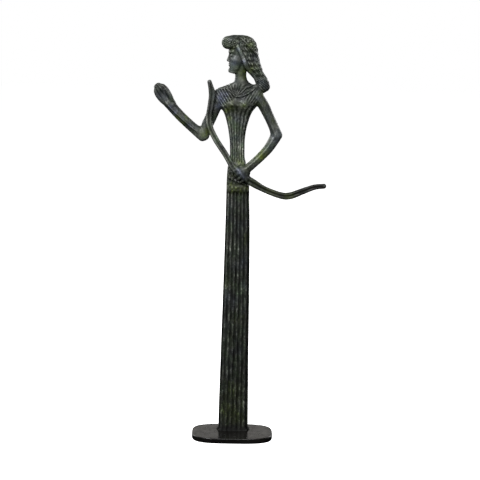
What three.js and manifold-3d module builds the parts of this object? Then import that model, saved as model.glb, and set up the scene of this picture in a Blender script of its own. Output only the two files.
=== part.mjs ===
// A cast bronze statuette of Artemis on its plinth, in millimetres, +Z up.
// The goddess stands frontally in a pleated peplos whose skirt falls like a fluted column. Her head is
// turned to her right, her right forearm is raised with an open hand, and her left hand holds a recurved
// bow across the hip. The figure and its bow are one casting. The plinth is a second, smooth casting.
// The origin is the centre of the plinth's underside. The figure looks along -Y and +X is its left.

import * as THREE from "three";
import { mergeVertices } from "three/addons/utils/BufferGeometryUtils.js";
import Module from "manifold-3d";

const wasm = await Module();
wasm.setup();

// Driving dimensions
const PLINTH_WIDTH = 52.5;
const PLINTH_DEPTH = 32.5;
const PLINTH_THICKNESS = 3.4;
const PLINTH_EDGE_RADIUS = 0.7;
const PLINTH_SQUARENESS = 3.4;
const SEAT_GAP = 0.3;
const FIGURE_HEIGHT = 256.3;
const FIGURE_SETBACK = 6;
const FIGURE_SIDE_STEP = 0.6;

// The figure is drawn in hundredths of its own height, from the middle of its foot.
const HUNDREDTHS = 100;

// Bands of the dress from the hem up, each starting where the one below it ends
const PLEATS = { count: 6, first: -0.8, pitch: 0.304 };
const SKIRT = { bottom: 1.2, depth: 0.3, proud: 0 };
const HEM_BAND = { bottom: 61.5, depth: 0, proud: 0.16 };
const OVERFOLD = { bottom: 63.4, depth: 0.2, proud: 0.1 };
const BELT = { bottom: 67.5, depth: 0, proud: 0.16 };
const BODICE = { bottom: 68.6, depth: 0.2, proud: 0 };
const BODICE_TOP = 82.2;
const BANDS = [SKIRT, HEM_BAND, OVERFOLD, BELT, BODICE];
const BAND_EDGE = 0.15;
const PLEAT_EDGE = 0.3;
const FOOT_FLARE = { reach: 0.85, height: 1.0 };

// Dress: height, middle, half width, half depth and squareness of the section
const BODY = [
  [0, 0, 3.8, 2.02, 3.4],
  [20.6, 0.09, 3.54, 1.9, 3.4],
  [36.3, 0.22, 3.34, 1.82, 3.4],
  [51.6, 0.28, 3.1, 1.75, 3.4],
  [HEM_BAND.bottom, 0.21, 2.87, 1.7, 3.2],
  [OVERFOLD.bottom, 0.2, 2.84, 1.68, 3.1],
  [BELT.bottom, 0.04, 2.46, 1.58, 2.8],
  [BODICE.bottom, -0.02, 2.14, 1.46, 2.7],
  [70.4, -0.07, 1.82, 1.36, 2.6],
  [73.3, -0.12, 1.84, 1.38, 2.6],
  [76.3, -0.19, 2.14, 1.48, 2.6],
  [79.2, -0.16, 2.8, 1.6, 2.6],
  [81.2, -0.14, 3.54, 1.66, 2.6],
  [82.8, -0.15, 4.8, 1.64, 2.6],
  [84.2, -0.1, 5.7, 1.56, 2.5],
  [85.5, -0.05, 6.05, 1.42, 2.4],
  [86.4, 0, 5.9, 1.26, 2.3],
  [87.0, 0.1, 5.1, 1.2, 2.2],
  [87.5, 0.3, 4.0, 1.18, 2.2],
  [88, 0.5, 2.95, 1.2, 2.1],
  [88.5, 0.62, 2.0, 1.25, 2.1],
  [89.3, 0.55, 1.45, 1.3, 2.0],
];
const BREAST = { side: 1.7, height: 83, radius: 1.35, swell: 0.4 };
const BACK_CARVING = 0.6;

// Limbs: side, depth, height, half width and half depth along each centre line
const RIGHT_ARM = [
  [-4.3, 0.1, 85.2, 1.3, 1.15],
  [-5.5, 0.1, 82.7, 1.45, 1.2],
  [-6.6, 0, 80.2, 1.46, 1.15],
  [-7.65, 0, 77.8, 1.42, 1.1],
  [-8.5, 0, 75.3, 1.4, 1.1],
];
const RIGHT_FOREARM = [
  [-8.6, 0, 75.1, 1.4, 1.1],
  [-11.7, -0.1, 77.6, 1.25, 1.02],
  [-14.65, -0.2, 80.35, 1.25, 0.95],
  [-17.1, -0.3, 83.0, 1.27, 0.85],
];
const RIGHT_HAND = [
  [-16.5, -0.3, 82.8, 1.2, 0.85],
  [-17.7, -0.3, 84.1, 1.7, 0.82],
  [-18.7, -0.3, 85.45, 1.9, 0.78],
  [-19.5, -0.35, 86.6, 1.65, 0.7],
  [-20.1, -0.4, 87.4, 0.9, 0.5],
];
const PALM_FINGERS = { count: 4, from: 0.3, depth: 0.3 };
const RIGHT_THUMB = [
  [-16.4, -0.8, 84.0, 0.5, 0.45],
  [-17.0, -1.0, 85.3, 0.55, 0.5],
  [-17.9, -1.0, 86.5, 0.42, 0.4],
];
const LEFT_ARM = [
  [4.5, 0.1, 85.4, 1.35, 1.15],
  [6.1, 0.1, 83.1, 1.38, 1.15],
  [7.4, 0, 80.6, 1.26, 1.1],
  [8.62, 0, 78.1, 1.22, 1.1],
  [9.62, 0, 75.7, 1.34, 1.1],
];
const LEFT_FOREARM = [
  [9.6, 0, 75.6, 1.38, 1.1],
  [7.85, -0.3, 72.65, 1.22, 1.05],
  [6.0, -0.85, 70.55, 1.13, 0.98],
  [4.1, -1.4, 68.75, 1.08, 0.92],
  [2.3, -1.9, 67.2, 1.1, 0.9],
];
const FIST = { side: 1.0, depth: -2.1, height: 66.1, half: [1.75, 0.95, 1.7] };
const FINGERS = { count: 4, thickness: 0.42, length: 1.15 };
const BOW_UPPER = [
  [0.9, -2.15, 65.75, 0.85, 0.6],
  [-0.86, -2.1, 67.3, 0.75, 0.58],
  [-3.0, -1.85, 70.8, 0.74, 0.55],
  [-5.4, -1.6, 74.4, 0.76, 0.55],
  [-6.95, -1.55, 77.6, 0.78, 0.58],
  [-7.15, -1.5, 80.3, 0.76, 0.58],
  [-6.75, -1.45, 83.4, 0.76, 0.56],
  [-6.55, -1.4, 85.9, 0.8, 0.54],
  [-7.2, -1.4, 88.6, 0.55, 0.44],
];
const BOW_LOWER = [
  [0.9, -2.15, 65.75, 0.95, 0.62],
  [3.75, -2.05, 63.95, 1.0, 0.64],
  [7.05, -1.85, 62.15, 0.8, 0.6],
  [10.85, -1.7, 60.8, 0.84, 0.6],
  [13.2, -1.6, 60.72, 0.88, 0.6],
  [16.2, -1.5, 61.85, 0.8, 0.56],
  [19.2, -1.4, 62.95, 0.68, 0.52],
  [21.7, -1.35, 63.25, 0.62, 0.5],
];

// Head and hair
const HEAD = { side: 0.7, height: 95.6, turn: 6 };
const NECK = [
  [0.62, 0, 87.4, 1.75, 1.35],
  [0.5, 0, 88.8, 1.42, 1.3],
  [0.45, 0, 90.6, 1.38, 1.3],
  [HEAD.side - 0.1, 0, HEAD.height - 2.1, 1.5, 1.4],
];
const FACE = [
  [-5.0, -1.9, 0.5, 0.4],
  [-4.75, -1.9, 1.25, 0.95],
  [-4.2, -1.75, 1.55, 1.2],
  [-3.7, -1.55, 1.6, 1.45],
  [-3.0, -1.4, 1.8, 1.65],
  [-2.2, -1.15, 2.05, 1.85],
  [-1.2, -0.8, 2.35, 2.02],
  [-0.4, -0.6, 2.5, 2.05],
  [0.4, -0.5, 2.8, 2.15],
  [1.6, -0.5, 2.85, 2.2],
  [2.6, -0.5, 2.5, 2.0],
];
const NOSE = [
  [-3.0, 0, -0.2, 0.28, 0.3],
  [-3.3, 0, -1.2, 0.36, 0.36],
  [-3.45, 0, -1.9, 0.5, 0.5],
];
const BROW = { inner: [-3.2, 0.35, 0.15], outer: [-2.45, 1.5, 0.3], radius: 0.3 };
const EYE = { at: [-2.64, 0.95, -0.55], half: [0.4, 0.55, 0.28] };
const LIPS = { front: -3.1, height: -3.05, half: [0.3, 0.62, 0.17], parting: 0.17 };
const HAIR = [
  [4.42, -0.2, 0.6, 0.5],
  [4.2, -0.25, 1.6, 1.1],
  [3.6, -0.25, 2.75, 1.8],
  [2.6, -0.15, 3.5, 2.3],
  [1.2, -0.1, 3.85, 2.5],
  [-0.2, 0.05, 3.98, 2.5],
  [-2.0, 0.75, 3.7, 2.4],
  [-3.5, 1.9, 3.05, 2.2],
  [-4.85, 3.62, 1.86, 1.8],
  [-6.0, 4.55, 1.75, 1.5],
  [-7.2, 5.15, 1.75, 1.35],
  [-8.1, 5.35, 1.75, 1.3],
  [-8.9, 5.3, 1.5, 1.15],
  [-9.7, 5.2, 0.6, 0.6],
];
const LOCKS = { count: 8, depth: 0.09, twist: 0.25 };
const HAIRLINE = [
  [-7, 1.2],
  [-1.7, 1.2],
  [0.7, -3.0],
  [1.76, -4.85],
  [1.76, -7],
  [-7, -7],
];
const FRINGE = { ends: 75, x: -0.6, reach: 2.9, spread: 1.5, height: 2.5, radius: 1.6, taper: 0.4, curls: 6, curl: 0.16 };
const SWEPT_HAIR = [
  [-3.2, 0, 2.65, 1.4, 1.4],
  [-2.2, 0, 3.05, 1.35, 1.5],
  [-1.0, 0, 3.15, 1.22, 1.5],
];
const RIBBON = { from: [-0.85, 4.1], to: [4.0, -0.8], half: 2.25, radius: 0.28 };
const BEADS = [
  [0.35, 3.35],
  [1.2, 2.75],
  [2.85, 1.75],
];
const BEAD_RADIUS = 0.36;
const TRESS = [
  [-1.4, -2.2, 1.7, 0.45, 0.5],
  [-0.55, -2.35, 0.1, 0.42, 0.45],
  [0.35, -2.25, -1.8, 0.5, 0.45],
  [1.15, -1.95, -3.5, 0.48, 0.45],
  [2.6, -1.2, -5.1, 0.42, 0.4],
];
// Folds on the chest: each line runs over the dress from its first to its last [side, height]
const NECKLINE = [
  [-3.1, 87.1],
  [-1.9, 86.1],
  [-0.7, 85.1],
  [0.9, 85.2],
  [2.6, 86.0],
  [4.0, 87.1],
];
const SHOULDER_FOLDS = { count: 4, radius: 0.3, from: [5.0, 86.0], to: [2.9, 82.9], step: [-0.72, -0.02] };
const NECKLINE_RADIUS = 0.32;

// Mesh fineness
const FRONT_STEPS = 3;
const BACK_STEPS = 2;
const ROUND = 10;
const ELLIPSOID = [10, 6];
const FACE_SIDES = 12;
const HAIR_SIDES = 24;
const FRINGE_SIDES = 8;
const PLINTH_SIDES = 40;

const mm = FIGURE_HEIGHT / HUNDREDTHS;

// A smooth curve through the rows of a table, with no overshoot: value(t) gives all columns but the first.
function smoothTable(rows) {
  const columns = rows[0].length - 1;
  const slopes = rows.map((_, i) => {
    if (i === 0 || i === rows.length - 1) return new Array(columns).fill(0);
    const before = rows[i][0] - rows[i - 1][0];
    const after = rows[i + 1][0] - rows[i][0];
    return Array.from({ length: columns }, (_, c) => {
      const left = (rows[i][c + 1] - rows[i - 1][c + 1]) / before;
      const right = (rows[i + 1][c + 1] - rows[i][c + 1]) / after;
      return left * right <= 0 ? 0 : (2 * left * right) / (left + right);
    });
  });
  return (t) => {
    let k = rows.findIndex((row) => row[0] > t) - 1;
    if (k === -2) k = rows.length - 2;
    k = Math.max(0, k);
    const span = rows[k + 1][0] - rows[k][0];
    const s = THREE.MathUtils.clamp((t - rows[k][0]) / span, 0, 1);
    const [s2, s3] = [s * s, s * s * s];
    return Array.from({ length: columns }, (_, c) =>
      (2 * s3 - 3 * s2 + 1) * rows[k][c + 1] +
      (s3 - 2 * s2 + s) * span * slopes[k][c] +
      (3 * s2 - 2 * s3) * rows[k + 1][c + 1] +
      (s3 - s2) * span * slopes[k + 1][c]);
  };
}

// A closed skin over rings of equally many points, with its ends filled.
function loft(rings) {
  const around = rings[0].length;
  const positions = rings.flat().flatMap((p) => [p.x, p.y, p.z]);
  const faces = [];
  for (let r = 0; r + 1 < rings.length; r++)
    for (let i = 0; i < around; i++) {
      const [a, b] = [r * around + i, r * around + ((i + 1) % around)];
      faces.push(a, b, b + around, a, b + around, a + around);
    }
  for (const [ring, start, flip] of [[rings[0], 0, true], [rings.at(-1), (rings.length - 1) * around, false]]) {
    const middle = ring.reduce((sum, p) => sum.add(p), new THREE.Vector3()).divideScalar(around);
    const tip = positions.length / 3;
    positions.push(middle.x, middle.y, middle.z);
    for (let i = 0; i < around; i++) {
      const [a, b] = [start + i, start + ((i + 1) % around)];
      faces.push(...(flip ? [b, a, tip] : [a, b, tip]));
    }
  }
  const geometry = new THREE.BufferGeometry();
  geometry.setAttribute("position", new THREE.Float32BufferAttribute(positions, 3));
  geometry.setIndex(faces);
  return geometry;
}

// A closed geometry as a manifold-3d solid, turned outside out where its faces point in.
function solid(geometry) {
  const bare = geometry.clone();
  bare.deleteAttribute("normal");
  bare.deleteAttribute("uv");
  const merged = mergeVertices(bare, 1e-5);
  const triVerts = new Uint32Array(merged.index.array);
  const mesh = { numProp: 3, vertProperties: merged.attributes.position.array, triVerts };
  const made = new wasm.Manifold(new wasm.Mesh(mesh));
  if (made.volume() > 0) return made;
  for (let i = 0; i < triVerts.length; i += 3) [triVerts[i], triVerts[i + 1]] = [triVerts[i + 1], triVerts[i]];
  return new wasm.Manifold(new wasm.Mesh(mesh));
}

function geometryOf(made) {
  const { vertProperties, triVerts } = made.getMesh();
  const geometry = new THREE.BufferGeometry();
  geometry.setAttribute("position", new THREE.BufferAttribute(vertProperties, 3));
  geometry.setIndex(new THREE.BufferAttribute(triVerts, 1));
  geometry.computeVertexNormals();
  return geometry;
}

const power = (v, n) => Math.sign(v) * Math.abs(v) ** n;
const superellipse = (u, n) => (1 - Math.min(1, Math.abs(u)) ** n) ** (1 / n);
const inside = (t, low, high, ease) =>
  THREE.MathUtils.smoothstep(t, low, low + ease) * (1 - THREE.MathUtils.smoothstep(t, high - ease, high));

// A round-ended limb along a table of [side, depth, height, half width, half depth].
function limb(stations, steps, { sides = ROUND, bulge = () => 1, ends = [0, 0.6] } = {}) {
  const curve = new THREE.CatmullRomCurve3(stations.map(([x, y, z]) => new THREE.Vector3(x, y, z)), false, "centripetal");
  const size = smoothTable(stations.map((s, i) => [i / (stations.length - 1), s[3], s[4]]));
  const ring = (t, grow, slide) => {
    const [halfWidth, halfDepth] = size(t);
    const along = curve.getTangent(t);
    const across = new THREE.Vector3(along.z, 0, -along.x).normalize();
    const forward = new THREE.Vector3().crossVectors(across, along).normalize();
    const middle = curve.getPoint(t).addScaledVector(along, slide * Math.min(halfWidth, halfDepth));
    return Array.from({ length: sides }, (_, i) => {
      const angle = (2 * Math.PI * i) / sides;
      const swell = grow * bulge(t, angle);
      return middle.clone()
        .addScaledVector(across, halfWidth * swell * Math.cos(angle))
        .addScaledVector(forward, halfDepth * swell * Math.sin(angle));
    });
  };
  const rings = [];
  for (const e of ends) rings.push(ring(0, 0.25 + 0.75 * Math.sqrt(1 - (1 - e) ** 2), e - 1));
  for (let k = 0; k <= steps; k++) rings.push(ring(k / steps, 1, 0));
  for (const e of ends.toReversed()) rings.push(ring(1, 0.25 + 0.75 * Math.sqrt(1 - (1 - e) ** 2), 1 - e));
  return solid(loft(rings));
}

// A skin over oval sections from a table of [height, middle, half width, half depth].
function stack(rows, sides, bulge = () => 1) {
  return solid(loft(rows.map(([z, x, halfWidth, halfDepth]) => Array.from({ length: sides }, (_, i) => {
    const angle = (2 * Math.PI * i) / sides;
    const swell = bulge(z, angle);
    return new THREE.Vector3(x + halfWidth * swell * Math.cos(angle), halfDepth * swell * Math.sin(angle), z);
  }))));
}

function ellipsoid([x, y, z], [a, b, c], [around, up] = ELLIPSOID) {
  return solid(new THREE.SphereGeometry(1, around, up).scale(a, b, c).translate(x, y, z));
}

// Dress
const bodyAt = smoothTable(BODY);

// How far the carving stands out of the plain section, at a share u of the half width.
function carving(u, x, z, back) {
  const pleat = 0.5 + 0.5 * Math.cos((2 * Math.PI * (u - PLEATS.first)) / PLEATS.pitch);
  const level = back ? BACK_CARVING : 1;
  const breast = (side) => Math.exp(-((x - side * BREAST.side) ** 2 + (z - BREAST.height) ** 2) / BREAST.radius ** 2);
  let out = back ? 0 : BREAST.swell * (breast(-1) + breast(1));
  BANDS.forEach((band, i) => {
    const top = i + 1 < BANDS.length ? BANDS[i + 1].bottom : BODICE_TOP;
    out += inside(z, band.bottom, top, PLEAT_EDGE) * band.depth * level * (pleat - 1);
    out += inside(z, band.bottom, top, BAND_EDGE) * band.proud;
  });
  return out;
}

function bodyRing(z) {
  const [middle, halfWidth, halfDepth, square] = bodyAt(z);
  const flare = z < FOOT_FLARE.height ? FOOT_FLARE.reach * (1 - Math.sqrt(1 - (1 - z / FOOT_FLARE.height) ** 2)) : 0;
  const points = [];
  const facePoint = (u, side) => {
    const x = middle + (halfWidth + flare) * u;
    const depth = (halfDepth + flare) * superellipse(u, square) + carving(u, x, z, side > 0);
    points.push(new THREE.Vector3(x, side * depth, z));
  };
  const flankPoint = (side) => points.push(new THREE.Vector3(middle + side * (halfWidth + flare), 0, z));
  const across = (share) => PLEATS.first + PLEATS.pitch * (share * PLEATS.count - 0.5);
  const [front, back] = [FRONT_STEPS * PLEATS.count, BACK_STEPS * PLEATS.count];
  for (let i = 0; i <= front; i++) facePoint(across(i / front), -1);
  flankPoint(1);
  for (let i = 0; i <= back; i++) facePoint(across(1 - i / back), 1);
  flankPoint(-1);
  return points;
}

function levels(from, to, count) {
  return Array.from({ length: count }, (_, i) => from + ((to - from) * i) / (count - 1));
}

// One ring at every row of the section table, at the foot's curve and on both sides of every band's edge
function dress() {
  const edges = BANDS.flatMap(({ bottom, proud }, i) => {
    const ease = proud > 0 && BANDS[i].depth === 0 ? BAND_EDGE : PLEAT_EDGE;
    const below = i > 0 && BANDS[i - 1].depth === 0 ? BAND_EDGE : PLEAT_EDGE;
    return i > 0 ? [bottom - below, bottom, bottom + ease] : [bottom, bottom + ease];
  });
  const wanted = [...BODY.map((row) => row[0]), ...edges, ...levels(0, FOOT_FLARE.height, 3)];
  const heights = [...new Set(wanted)].sort((a, b) => a - b);
  return solid(loft(heights.map(bodyRing)));
}

// A fold that stands half out of the dress's front along a line of [side, height].
function fold(line, radius) {
  const stations = line.map(([x, z]) => {
    const [middle, halfWidth, halfDepth, square] = bodyAt(z);
    const u = (x - middle) / halfWidth;
    return [x, -halfDepth * superellipse(u, square) - carving(u, x, z, false) + 0.05, z, radius, radius];
  });
  return limb(stations, line.length - 1, { sides: 5, ends: [0] });
}

function chestFolds() {
  const folds = [fold(NECKLINE, NECKLINE_RADIUS)];
  for (let k = 0; k < SHOULDER_FOLDS.count; k++)
    for (const side of [-1, 1]) {
      const shift = ([x, z]) => [side * (x + SHOULDER_FOLDS.step[0] * k), z + SHOULDER_FOLDS.step[1] * k];
      const [from, to] = [shift(SHOULDER_FOLDS.from), shift(SHOULDER_FOLDS.to)];
      folds.push(fold([from, [(from[0] + to[0]) / 2, (from[1] + to[1]) / 2], to], SHOULDER_FOLDS.radius));
    }
  return folds;
}

// Hands
function rightHand() {
  const grooved = (t, angle) => {
    const across = Math.cos(angle);
    const groove = 0.5 - 0.5 * Math.cos(Math.PI * PALM_FINGERS.count * (across + 1));
    const front = Math.max(0, -Math.sin(angle));
    return 1 - (t > PALM_FINGERS.from ? PALM_FINGERS.depth * (1 - groove) * front * front : 0);
  };
  return [limb(RIGHT_HAND, 5, { sides: 16, bulge: grooved }), limb(RIGHT_THUMB, 3, { sides: 6 })];
}

function leftHand() {
  const parts = [ellipsoid([FIST.side, FIST.depth, FIST.height], FIST.half)];
  const bow = new THREE.Vector3(BOW_LOWER[1][0] - BOW_UPPER[1][0], 0, BOW_LOWER[1][2] - BOW_UPPER[1][2]).normalize();
  for (let k = 0; k < FINGERS.count; k++) {
    const along = (k - (FINGERS.count - 1) / 2) * 1.7 * FINGERS.thickness;
    const [x, z] = [FIST.side + bow.x * along, FIST.height + bow.z * along];
    const end = FINGERS.length;
    parts.push(limb([
      [x - bow.z * end, FIST.depth - 0.25, z + bow.x * end, FINGERS.thickness, FINGERS.thickness],
      [x, FIST.depth - FIST.half[1] * 0.75, z, FINGERS.thickness, FINGERS.thickness],
      [x + bow.z * end, FIST.depth - 0.25, z - bow.x * end, FINGERS.thickness, FINGERS.thickness],
    ], 3, { sides: 5, ends: [0] }));
  }
  return parts;
}

// Head and hair, in the head's own frame: it faces -X and is then turned to the viewer.
function face() {
  const pair = (make) => [make(1), make(-1)];
  const eye = (side) => ellipsoid([EYE.at[0], side * EYE.at[1], EYE.at[2]], EYE.half, [8, 5]);
  const brow = (side) => limb([
    [BROW.inner[0], side * BROW.inner[1], BROW.inner[2], BROW.radius, BROW.radius],
    [BROW.outer[0], side * BROW.outer[1], BROW.outer[2], BROW.radius, BROW.radius],
  ], 1, { sides: 6, ends: [0] });
  const lip = (side) => ellipsoid([LIPS.front, 0, LIPS.height + side * LIPS.parting], LIPS.half, [6, 4]);
  return [stack(FACE, FACE_SIDES), limb(NOSE, 2, { sides: 6 }), ...pair(eye), ...pair(brow), ...pair(lip)];
}

// The hair and the tail of hair on the left shoulder, one mass cut away in front of the face and ears
function hair() {
  const combed = (z, angle) => 1 - LOCKS.depth * (0.5 + 0.5 * Math.cos(LOCKS.count * (angle + LOCKS.twist * z)));
  const outline = new THREE.Shape(HAIRLINE.map(([x, z]) => new THREE.Vector2(x, z)));
  const width = 4 * Math.max(...HAIR.map((row) => row[3]));
  const open = new THREE.ExtrudeGeometry(outline, { depth: width, bevelEnabled: false });
  open.rotateX(Math.PI / 2).translate(0, width / 2, 0);
  return stack(HAIR, HAIR_SIDES, combed).subtract(solid(open));
}

// The roll of curls over the forehead, swept back at both temples
function fringe() {
  const rings = [];
  const steps = 2 * FRINGE.curls;
  for (let k = 0; k <= steps; k++) {
    const share = (2 * k) / steps - 1;
    const angle = THREE.MathUtils.degToRad(FRINGE.ends) * share;
    const end = Math.sqrt(Math.max(0.04, 1 - Math.abs(share) ** 8)) * (1 - FRINGE.taper * share * share);
    const radius = FRINGE.radius * end * (1 - FRINGE.curl * (0.5 + 0.5 * Math.cos((2 * Math.PI * FRINGE.curls * k) / steps)));
    const [side, back] = [FRINGE.spread * Math.sin(angle), -FRINGE.reach * Math.cos(angle)];
    const out = new THREE.Vector3(back * FRINGE.spread ** 2, side * FRINGE.reach ** 2, 0).normalize();
    rings.push(Array.from({ length: FRINGE_SIDES }, (_, i) => {
      const turn = (2 * Math.PI * i) / FRINGE_SIDES;
      return new THREE.Vector3(FRINGE.x + back, side, FRINGE.height + radius * Math.sin(turn))
        .addScaledVector(out, radius * Math.cos(turn));
    }));
  }
  return solid(loft(rings));
}

function ribbon() {
  const [from, to] = [RIBBON.from, RIBBON.to];
  const middle = [(from[0] + to[0]) / 2, (from[1] + to[1]) / 2];
  const length = Math.hypot(to[0] - from[0], to[1] - from[1]) / 2;
  const torus = new THREE.TorusGeometry(1, RIBBON.radius / length, 4, 18);
  torus.scale(length, RIBBON.half, length);
  torus.rotateY(-Math.atan2(to[1] - from[1], to[0] - from[0]));
  torus.translate(middle[0], 0, middle[1]);
  return solid(torus);
}

function beads() {
  return BEADS.flatMap(([x, z]) => {
    const k = HAIR.findIndex((row) => row[0] < z);
    const share = (z - HAIR[k][0]) / (HAIR[k - 1][0] - HAIR[k][0]);
    const [middle, halfWidth, halfDepth] = [1, 2, 3].map((c) => THREE.MathUtils.lerp(HAIR[k][c], HAIR[k - 1][c], share));
    const y = halfDepth * Math.sqrt(1 - ((x - middle) / halfWidth) ** 2);
    return [-1, 1].map((side) => ellipsoid([x, side * y, z], [BEAD_RADIUS, BEAD_RADIUS, BEAD_RADIUS], [5, 3]));
  });
}

function head() {
  const tresses = [1, -1].map((side) => limb(TRESS.map(([x, y, ...rest]) => [x, side * y, ...rest]), 4, { sides: 6, ends: [0] }));
  // The hair that runs from the fringe back over the crown
  const swept = limb(SWEPT_HAIR, 2, { sides: 8, ends: [0] });
  const parts = [...face(), hair(), fringe(), swept, ribbon(), ...beads(), ...tresses];
  return wasm.Manifold.union(parts).rotate([0, 0, HEAD.turn]).translate([HEAD.side, 0, HEAD.height]);
}

// The whole casting, set behind the plinth's middle and just clear of its top
function figure() {
  const parts = [
    dress(), ...chestFolds(),
    limb(RIGHT_ARM, 5), limb(RIGHT_FOREARM, 4), ...rightHand(), limb(LEFT_ARM, 5), limb(LEFT_FOREARM, 5), ...leftHand(),
    limb(BOW_UPPER, 16, { sides: 8 }), limb(BOW_LOWER, 14, { sides: 8 }), limb(NECK, 2), head(),
  ];
  const joined = wasm.Manifold.union(parts).scale(mm);
  return joined.translate([FIGURE_SIDE_STEP, FIGURE_SETBACK, PLINTH_THICKNESS + SEAT_GAP]);
}

// Plinth: a rounded oblong slab with softened edges
function plinth() {
  const outline = (inset, z) => Array.from({ length: PLINTH_SIDES }, (_, i) => {
    const angle = (2 * Math.PI * i) / PLINTH_SIDES;
    const n = 2 / PLINTH_SQUARENESS;
    return new THREE.Vector3(
      (PLINTH_WIDTH / 2 - inset) * power(Math.cos(angle), n), (PLINTH_DEPTH / 2 - inset) * power(Math.sin(angle), n), z);
  });
  const r = PLINTH_EDGE_RADIUS;
  const soften = [0, 0.5, 1].map((s) => [r * (1 - Math.sin((s * Math.PI) / 2)), r * (1 - Math.cos((s * Math.PI) / 2))]);
  const rings = [
    ...soften.map(([inset, z]) => outline(inset, z)),
    ...soften.toReversed().map(([inset, z]) => outline(inset, PLINTH_THICKNESS - z)),
  ];
  return loft(rings);
}

// Assembly
const bronze = new THREE.MeshStandardMaterial({ name: "patinated_bronze", color: 0x33372f, roughness: 0.55, metalness: 0.6 });
const dark = new THREE.MeshStandardMaterial({ name: "dark_bronze", color: 0x2b2926, roughness: 0.35, metalness: 0.6 });

function mesh(name, geometry, material) {
  const made = new THREE.Mesh(geometry, material);
  made.name = name;
  return made;
}

const statue = new THREE.Group();
statue.name = "artemis_statue";
statue.add(mesh("plinth", plinth(), dark), mesh("figure", geometryOf(figure()), bronze));

export default statue;
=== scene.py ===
"""A small bronze statuette of Artemis on its plinth: the dressed model around its solids.

The figure is carved as one field of signed distances, in hundredths of the figure's height, from the
same sections and centre lines as its solid. The field is then meshed, thinned and given its patina, with
painted shade and painted highlights.
"""

import math

import bpy
import numpy as np
from mathutils import Matrix, Vector


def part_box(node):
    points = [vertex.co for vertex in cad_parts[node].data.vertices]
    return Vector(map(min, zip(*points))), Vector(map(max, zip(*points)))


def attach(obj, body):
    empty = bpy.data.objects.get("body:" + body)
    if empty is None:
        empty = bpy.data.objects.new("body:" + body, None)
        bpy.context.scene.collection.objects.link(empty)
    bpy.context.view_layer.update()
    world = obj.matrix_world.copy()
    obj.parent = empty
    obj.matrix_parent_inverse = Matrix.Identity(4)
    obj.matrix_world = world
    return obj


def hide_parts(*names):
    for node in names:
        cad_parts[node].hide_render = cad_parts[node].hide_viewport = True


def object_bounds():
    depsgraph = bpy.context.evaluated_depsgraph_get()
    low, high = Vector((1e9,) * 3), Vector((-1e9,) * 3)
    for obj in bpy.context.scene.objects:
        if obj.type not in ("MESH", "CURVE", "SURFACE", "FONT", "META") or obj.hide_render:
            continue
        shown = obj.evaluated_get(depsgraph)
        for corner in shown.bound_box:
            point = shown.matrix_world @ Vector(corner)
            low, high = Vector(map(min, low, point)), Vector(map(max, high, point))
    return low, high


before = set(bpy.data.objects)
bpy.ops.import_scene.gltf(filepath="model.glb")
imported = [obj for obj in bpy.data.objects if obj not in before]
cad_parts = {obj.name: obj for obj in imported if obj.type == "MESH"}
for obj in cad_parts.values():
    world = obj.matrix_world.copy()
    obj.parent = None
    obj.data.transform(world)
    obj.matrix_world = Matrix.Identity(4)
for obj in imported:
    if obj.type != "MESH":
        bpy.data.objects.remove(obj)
cad_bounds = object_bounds()

# The figure's own frame: its foot stands this far from the plinth's middle, in metres
FOOT_SIDE = 0.0006
FOOT_BACK = 0.006
figure_low, figure_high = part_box("figure")
plinth_low, plinth_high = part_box("plinth")
UNIT = (figure_high.z - figure_low.z) / 100
FOOT = Vector((
    (plinth_low.x + plinth_high.x) / 2 + FOOT_SIDE,
    (plinth_low.y + plinth_high.y) / 2 + FOOT_BACK,
    figure_low.z,
))

# Camera, measured against the photograph's frame
IMAGE_SIZE = 480
FOCAL_PIXELS = 1234.7
CAMERA_AT = Vector((0, -0.780, 0.2564))
CAMERA_TARGET = Vector((0.0031, 0.008, 0.1293))
CAMERA_ROLL = math.radians(1.0)

# Planes of the grid: closer together where the carving is finer
GRID_X = [(-21.6, -5.2, 0.12), (-5.2, 7.7, 0.066), (7.7, 22.9, 0.12)]
GRID_Y = [(-3.5, 3.5, 0.074)]
GRID_Z = [(-0.3, 2.6, 0.1), (2.6, 61.0, 0.34), (61.0, 86.0, 0.1), (86.0, 100.7, 0.066)]
TRIANGLES = 190000
FAR = 4.0

# Dress: its pleats, in shares of the half width, and its bands from the hem up
PLEATS = {"first": -0.8, "pitch": 0.304}
SKIRT = {"bottom": 0.1, "depth": 0.42, "proud": 0}
HEM_BAND = {"bottom": 61.5, "depth": 0, "proud": 0.12}
OVERFOLD = {"bottom": 63.4, "depth": 0.13, "proud": 0.08}
BELT = {"bottom": 67.5, "depth": 0, "proud": 0.16}
BODICE = {"bottom": 68.6, "depth": 0.22, "proud": 0}
BODICE_TOP = 83.0
BANDS = [SKIRT, HEM_BAND, OVERFOLD, BELT, BODICE]
BAND_EDGE = 0.25
PLEAT_EDGE = 0.4
BACK_CARVING = 0.6
# The foot reaches this far below its solid, down to the plinth, and spreads a little there
SEAT = 0.11
FOOT_FLARE = {"reach": 0.45, "height": 0.8}
# Spacing of the folds over the shoulders, measured sideways, and how far they lean for each step up
FOLD_PITCH = 0.72
FOLD_LEAN = 0.62
# Folds on each side: side, depth and sharpness
SHOULDER_FOLDS = [(-1, 0.42, 2.0), (1, 0.09, 1.0)]
# The folds stop above a line that falls towards the armpits from this place
FOLD_FLOOR = {"x": 0.9, "z": 84.7, "slope": 0.63}
# The strokes over the collar fan out from this point
COLLAR = {"x": -0.9, "z": 84.7, "strokes": 26, "depth": 0.14}
BREASTS = [
    {"side": 1.7, "height": 83.0, "radius": 1.5, "swell": 0.4},
    {"side": 1.55, "height": 83.1, "radius": 0.42, "swell": 0.2},
]
NECKLINE_RIDGE = {"height": 0.24, "width": 0.26}
OVERFOLD_RIDGE = {"height": 0.16, "width": 0.22}
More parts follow.
